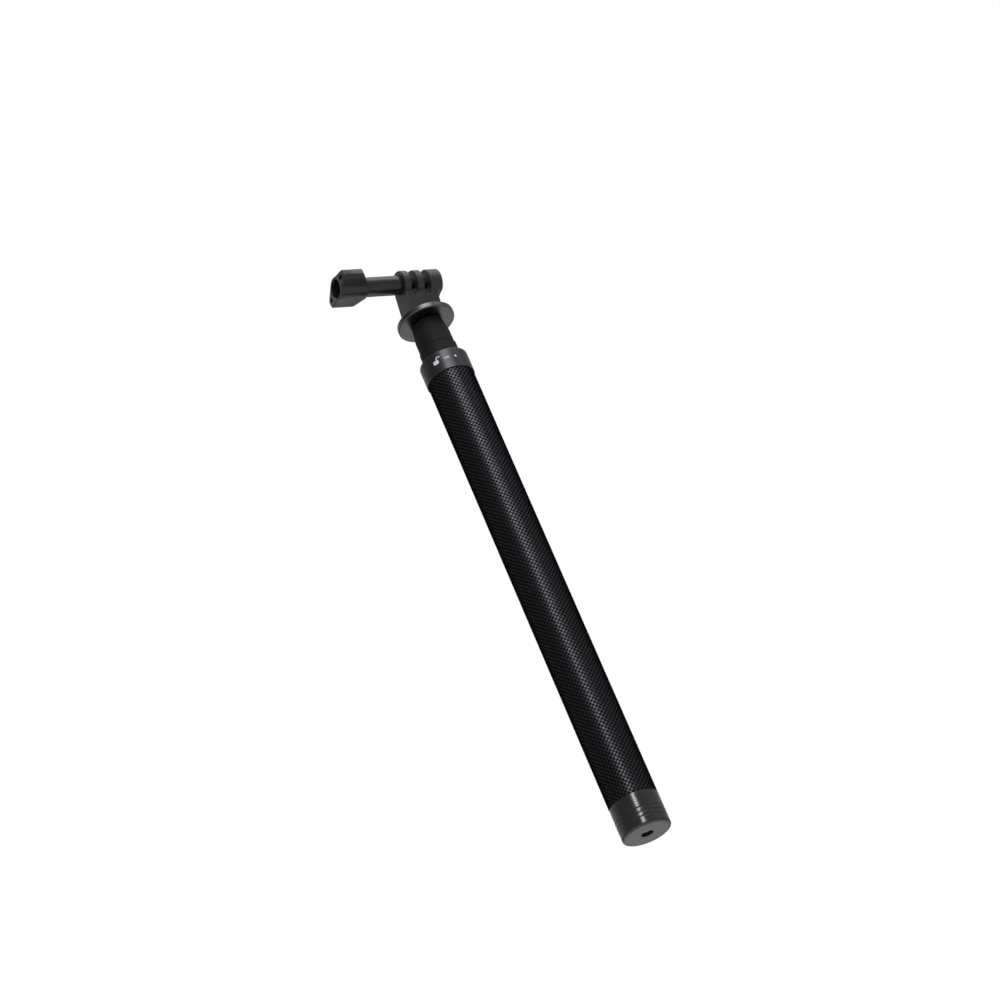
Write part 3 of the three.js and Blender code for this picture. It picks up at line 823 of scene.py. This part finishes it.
def hexagon(flats, angle):
    """Radius of a hexagon at each angle, with a corner at angle 0."""
    return flats / 2 / np.cos(np.mod(angle, np.pi / 3) - np.pi / 6)


print("a 7.8 mm hexagon is", round(float(hexagon(7.8, 0.0)) * 2, 2), "mm across its corners")

# %% Nut
NUT_LOW = 8.8
NUT_HIGH = 12.5
NUT_FLATS = 7.8
CONE_FOOT = 3.75  # the corner cone's radius at the nut's face, and how fast it widens
CONE_SLOPE = 1.73
M5_PITCH = 0.8
nut_angle = full_turn(120)
nut_x = np.array([NUT_LOW, NUT_LOW, NUT_LOW + 0.35, NUT_LOW + 0.7])
nut_x = np.concatenate([nut_x, (NUT_LOW + NUT_HIGH - nut_x)[::-1]])
cone = CONE_FOOT + CONE_SLOPE * np.minimum(nut_x - NUT_LOW, NUT_HIGH - nut_x)
nut_outside = np.minimum(hexagon(NUT_FLATS, nut_angle)[None, :], cone[:, None])
nut_outside[[0, -1]] = 3.2
bore_x = np.arange(NUT_HIGH, NUT_LOW, -0.1)
nut_bore = thread(bore_x, nut_angle, 2.45, 2.62, M5_PITCH)
nut = around_screw(
    "hex_nut_threaded",
    np.concatenate([nut_x, bore_x]),
    np.concatenate([nut_outside, nut_bore]),
    nut_angle,
)
stands_for(nut, "hex_nut", BLACK_STEEL)

# %% Bolt
bolt_angle = full_turn(72)
key = hexagon(4.0, bolt_angle)
shank_x = np.arange(-9.0, 11.8, 0.1)
shank = thread(shank_x, bolt_angle, 2.4, 2.12, M5_PITCH)
# The head's outline begins inside it: the first four rows are the hexagon socket, the others are round.
head_x = [-38.8, -38.8, -41.0, -41.0, -41.0, -40.75, -37.45, -37.2, -37.2, -9.2]
head_r = [0, 1, 1, 1.08, 4.0, 4.3, 4.3, 4.05, 2.4, 2.4]
head = np.array(head_r)[:, None] * np.where(np.arange(10)[:, None] < 4, key[None, :], 1.0)
tail_x = [12.2, 12.2]
tail = np.array([1.9, 0.0])[:, None] + 0 * key[None, :]
bolt = around_screw(
    "thumb_bolt_threaded",
    np.concatenate([head_x, shank_x, tail_x]),
    np.concatenate([head, shank, tail]),
    bolt_angle,
    ring=False,
)
stands_for(bolt, "thumb_bolt", BLACK_STEEL)

# %% [markdown]
# ## The thumb knob
#
# A long sleeve that ends in a hub with two wings. Its section around the screw's axis is the larger of a
# circle and two tapered wings. Where the wings begin, a cone cuts the section down to the sleeve. The
# outer end has a rounded edge, a round hollow that holds the bolt's head, and a small pocket in each wing,
# where the mould saves plastic.

# %% Knob section
WING_ANGLE = math.radians(173.5)
WING_REACH = 11.9
SET_BACK = 0.6
WING_ROOT = 5.95
TAPER = 0.29
HUB = 6.4
KNOB_END = -46.3
SLEEVE = 5.15
HEAD_BORE = 5.0  # the hollow for the bolt's head
WING_POWER = 14  # the higher the power, the sharper the wing's corners
HUB_POWER = 22  # and the sharper the line where a wing leaves the hub
POCKET_MIDDLE = 8.4
POCKET_RADIUS = 1.35
POCKET_DEPTH = 2.2


def wings(angle, inset):
    """Radius of the section: the larger of the hub's circle and a pair of wings, blended by a p-norm. A wing
    has a flat tip and two sides that come together outwards, r sin a + taper r cos a = root:
    (cos a / reach)^n + ((sin a + taper cos a) / root)^n = r^-n."""
    c, s = np.abs(np.cos(angle)), np.abs(np.sin(angle))
    sides = (s + TAPER * c) / (WING_ROOT - inset * math.hypot(1, TAPER))
    bar = ((c / (WING_REACH - inset)) ** WING_POWER + sides**WING_POWER) ** (-1 / WING_POWER)
    return ((HUB - inset) ** HUB_POWER + bar**HUB_POWER) ** (1 / HUB_POWER)


def set_back(radius):
    """How far the end face falls back towards a wing's tip: 0 on the hub, and SET_BACK at full reach."""
    return SET_BACK * np.clip((radius - HUB) / (WING_REACH - HUB), 0, 1)


even = full_turn(256)
from_wing = even - 0.34 * np.sin(2 * even)  # more columns where the wings are
knob_angle = from_wing + WING_ANGLE
print("the wings are", round(2 * (WING_ROOT - TAPER * WING_REACH), 1), "mm thick at their tips")

# %% Knob sweep
EDGE = 0.45
FLANK_START = -30.0
FLANK_RUN = 4.2
flank_x = FLANK_START - np.linspace(0, FLANK_RUN + 0.2, 22)
flank_cone = SLEEVE + (FLANK_START - flank_x) * (WING_REACH - SLEEVE) / FLANK_RUN
flank = np.minimum(wings(from_wing, 0)[None, :], flank_cone[:, None])
bend = np.linspace(0, np.pi / 2, 6)
edge_x = KNOB_END + EDGE * (1 - np.sin(bend))
edge_r = np.stack([wings(from_wing, inset) for inset in EDGE * (1 - np.cos(bend))])
edge_x = edge_x[:, None] + set_back(edge_r)
FACE_ROWS = 44
share = np.linspace(0, 1, FACE_ROWS)[1:, None]
face_r = edge_r[-1] * (1 - share) + (HEAD_BORE + 0.25) * share
pocket = np.hypot(face_r * np.abs(np.cos(from_wing)) - POCKET_MIDDLE, face_r * np.sin(from_wing))
hollow = POCKET_DEPTH * np.clip((POCKET_RADIUS - pocket) / 0.15, 0, 1)
face_x = KNOB_END + set_back(face_r) + hollow
inner = [[HEAD_BORE, KNOB_END + 0.25], [HEAD_BORE, -41.35], [4.85, -41.2], [4.5, -41.2]]
inner += [[4.5, -37.0], [2.6, -37.0], [2.6, -10.95], [2.8, -10.75]]
inner += [[SLEEVE - 0.2, -10.75], [SLEEVE, -10.95], [SLEEVE, FLANK_START + 0.2]]
inner = np.array(inner)
columns = np.ones(len(knob_angle))
knob_r = np.concatenate([flank, edge_r, face_r, inner[:, :1] * columns])
knob_x = np.concatenate([flank_x[:, None] * columns, edge_x, face_x, inner[:, 1:] * columns])
knob = around_screw("thumb_knob_winged", knob_x, knob_r, knob_angle)
stands_for(knob, "thumb_knob", KNOB_PLASTIC)

# %% [markdown]
# ## The washer
#
# A thin rubber ring between the knob's sleeve and the fork, which keeps the screw from working loose.

# %% Washer
washer_outline = soften([[2.7, -10.55], [5.15, -10.55], [5.15, -9.6], [2.7, -9.6]], 0.2)
washer = around_screw("rubber_washer", washer_outline[:, 1], washer_outline[:, 0])
stands_for(washer, "screw_washer", RUBBER)

# %% [markdown]
# ## The pieces inside
#
# The feet that guide the tubes, the collet, the threaded inserts and the bumper are rarely seen. Their CAD
# shapes are right, so they stay and only get their real material.

# %% Inner pieces
INSIDE = {"inner_bumper": RUBBER, "lock_collet": ACETAL, "collar_base": TUBE_METAL}
INSIDE |= {"head_insert": STEEL, "camera_stud": STEEL, "fork_thread_insert": BRASS}
INSIDE |= {f"section_foot_{n}": ACETAL for n in range(1, 6)}
for name, finish in INSIDE.items():
    cad = frame["nodes"][name]
    cad.data.materials.clear()
    cad.data.materials.append(finish)
print("CAD nodes kept:", len(INSIDE))

# %% [markdown]
# ## The floor
#
# A pale matte floor, well below the stick, because the camera looks up at it from underneath. It lights
# the stick from below like a reflector.

# %% Floor
FLOOR_HEIGHT = -1.3
FLOOR_HALF = 30.0
floor_mesh = bpy.data.meshes.new("floor")
floor_x = np.array([-FLOOR_HALF, FLOOR_HALF, FLOOR_HALF, -FLOOR_HALF])
floor_points = np.stack([floor_x, np.roll(floor_x, 1), np.full(4, FLOOR_HEIGHT)], -1)
floor_mesh.from_pydata(floor_points.tolist(), [], [[3, 2, 1, 0]])
floor = bpy.data.objects.new("floor", floor_mesh)
bpy.context.scene.collection.objects.link(floor)
# Matte paint on board: even and pale, with a hardly visible mottle.
PAINT = clouded("pale matte paint", "#e6e6e5", "#ececeb", 0.8, 0.04, 4.0, 0.05)
floor_mesh.materials.append(PAINT)
# The floor is far under the stick, so most of it lies in half light. A little glow, which no reflection
# sees, keeps it pale.
paint = PAINT.node_tree
seen = add(paint, "LightPath").node.outputs["Is Camera Ray"]
lift = add(paint, "Math", {0: seen, 1: 0.38}, operation="MULTIPLY")
feed(paint.nodes["Principled BSDF"], {"Emission Color": colour("#ffffff"), "Emission Strength": lift})
print("floor at", FLOOR_HEIGHT, "m, facing", [round(c) for c in floor_mesh.polygons[0].normal])

# %% [markdown]
# ## Light
#
# Soft studio light. A tall narrow softbox above the camera gives the bright line along the cap, the tube
# and the collar, and a broader one higher up carries the line over the head. A wide dim one further right
# and a tall one behind on the left shape the sides, and one overhead lights what faces up. The last one
# hangs low behind the stick and lights the part of the floor that the cap's flat end mirrors.

# %% Softboxes
AIM = np.array([0.0, 0.0, 0.17])
LOOK_FROM = -123.75  # the side that the camera is on, in degrees around the stick


def frame_matrix(right, top, back, spot):
    """A 4 by 4 matrix from three axes and a place."""
    matrix = np.eye(4)
    matrix[:3] = np.stack([right, top, back, spot], -1)
    return Matrix(matrix.tolist())


def lamp(name, size, radiance, axes, spot):
    """An area light by its three axes and its place. It shines against the third, and no camera sees it.
    Its power is radiance times its area times pi."""
    data = bpy.data.lights.new(name, "AREA")
    data.shape = "RECTANGLE"
    data.size, data.size_y = size
    data.energy = radiance * size[0] * size[1] * math.pi
    made = bpy.data.objects.new(name, data)
    bpy.context.scene.collection.objects.link(made)
    made.matrix_world = frame_matrix(*axes, spot)
    made.visible_camera = False
    print(name, "gives", round(data.energy, 2), "W")


def softbox(name, turn, elevation, distance, size, radiance, roll=0.0):
    """An area light that faces the stick, some degrees around from the camera's side and up."""
    azimuth = math.radians(LOOK_FROM + turn)
    lift = math.radians(elevation)
    away = np.array([math.cos(azimuth) * math.cos(lift), math.sin(azimuth) * math.cos(lift), math.sin(lift)])
    side = np.array([-math.sin(azimuth), math.cos(azimuth), 0.0])
    top = np.cross(away, side)
    c, s = math.cos(math.radians(roll)), math.sin(math.radians(roll))
    lamp(name, size, radiance, (c * side - s * top, s * side + c * top, away), AIM + distance * away)


softbox("key_strip", 8.4, 16, 1.6, (0.3, 1.0), 4.7, roll=12)
softbox("key_top", 26, 42, 1.6, (0.8, 0.75), 3.0)
softbox("right_panel", 84, 52, 1.8, (0.8, 0.8), 1.6)
softbox("back_strip", -162, 12, 2.0, (0.35, 1.4), 1.5)
softbox("overhead", 0, 90, 2.6, (2.2, 2.2), 1.2)
behind = math.radians(LOOK_FROM + 180)
floor_spot = np.array([3.3 * math.cos(behind), 3.3 * math.sin(behind), FLOOR_HEIGHT + 0.8])
lamp("floor_light", (3.2, 3.2), 0.6, np.eye(3), floor_spot)

# %% [markdown]
# ## Backdrop
#
# The camera sees plain white. Reflections see a dim grey room instead, with two pale glows above eye level
# behind the stick, which draw the light edges along both sides of the round metal pieces.

# %% Backdrop
ROOM = 0.18
world = bpy.data.worlds.new("studio")
bpy.context.scene.world = world
world.use_nodes = True
sky = world.node_tree
sky.nodes.clear()
ray = add(sky, "TexCoord")
toward = add(sky, "VectorMath", {0: ray, 1: (1.0, 1.0, 0.0)}, operation="MULTIPLY")
level = add(sky, "VectorMath", {0: toward}, operation="NORMALIZE")


def side_glow(turn, start, end, amount):
    """Light from one side: it rises with the cosine of the angle to that side, from start to end."""
    angle = math.radians(LOOK_FROM + turn)
    middle = (math.cos(angle), math.sin(angle), 0.0)
    share = add(sky, "VectorMath", {0: level, 1: middle}, operation="DOT_PRODUCT").node.outputs["Value"]
    return add(sky, "MapRange", {0: share, 1: start, 2: end, 4: amount})


glows = [side_glow(-150, 0.35, 1.0, 0.36), side_glow(110, 0.0, 0.9, 0.2)]
both = add(sky, "Math", {0: glows[0], 1: glows[1]}, operation="ADD")
height = add(sky, "SeparateXYZ", {0: ray}).node.outputs["Z"]
above = add(sky, "MapRange", {0: height, 1: 0.12, 2: 0.4})
hung = add(sky, "Math", {0: both, 1: above}, operation="MULTIPLY")
room = add(sky, "Math", {0: hung, 1: ROOM}, operation="ADD")
dim = add(sky, "Background", {"Color": colour("#ffffff"), "Strength": room})
white = add(sky, "Background", {"Color": colour("#ffffff"), "Strength": 1.0})
direct = add(sky, "LightPath").node.outputs["Is Camera Ray"]
mixed = add(sky, "MixShader", {0: direct, 1: dim, 2: white})
feed(sky.nodes.new("ShaderNodeOutputWorld"), {"Surface": mixed})
bpy.context.scene.view_settings.view_transform = "Standard"
print("white backdrop,", ROOM, "in reflections")

# %% [markdown]
# ## Camera
#
# A long lens from below and in front on the left, a little rolled, so that the stick runs across the
# frame.

# %% Camera
lens = bpy.data.cameras.new("camera")
lens.sensor_width = 36.0
lens.lens = 106.2
camera = bpy.data.objects.new("camera", lens)
bpy.context.scene.collection.objects.link(camera)
camera.matrix_world = frame_matrix(
    np.array([0.86882, -0.35169, -0.34852]),
    np.array([0.08687, -0.58471, 0.80658]),
    -np.array([0.48745, 0.73105, 0.47745]),
    np.array([-0.72306, -1.08200, -0.51178]),
)
bpy.context.scene.camera = camera
print("camera", round(camera.matrix_world.translation.length, 2), "m from the stick's foot")
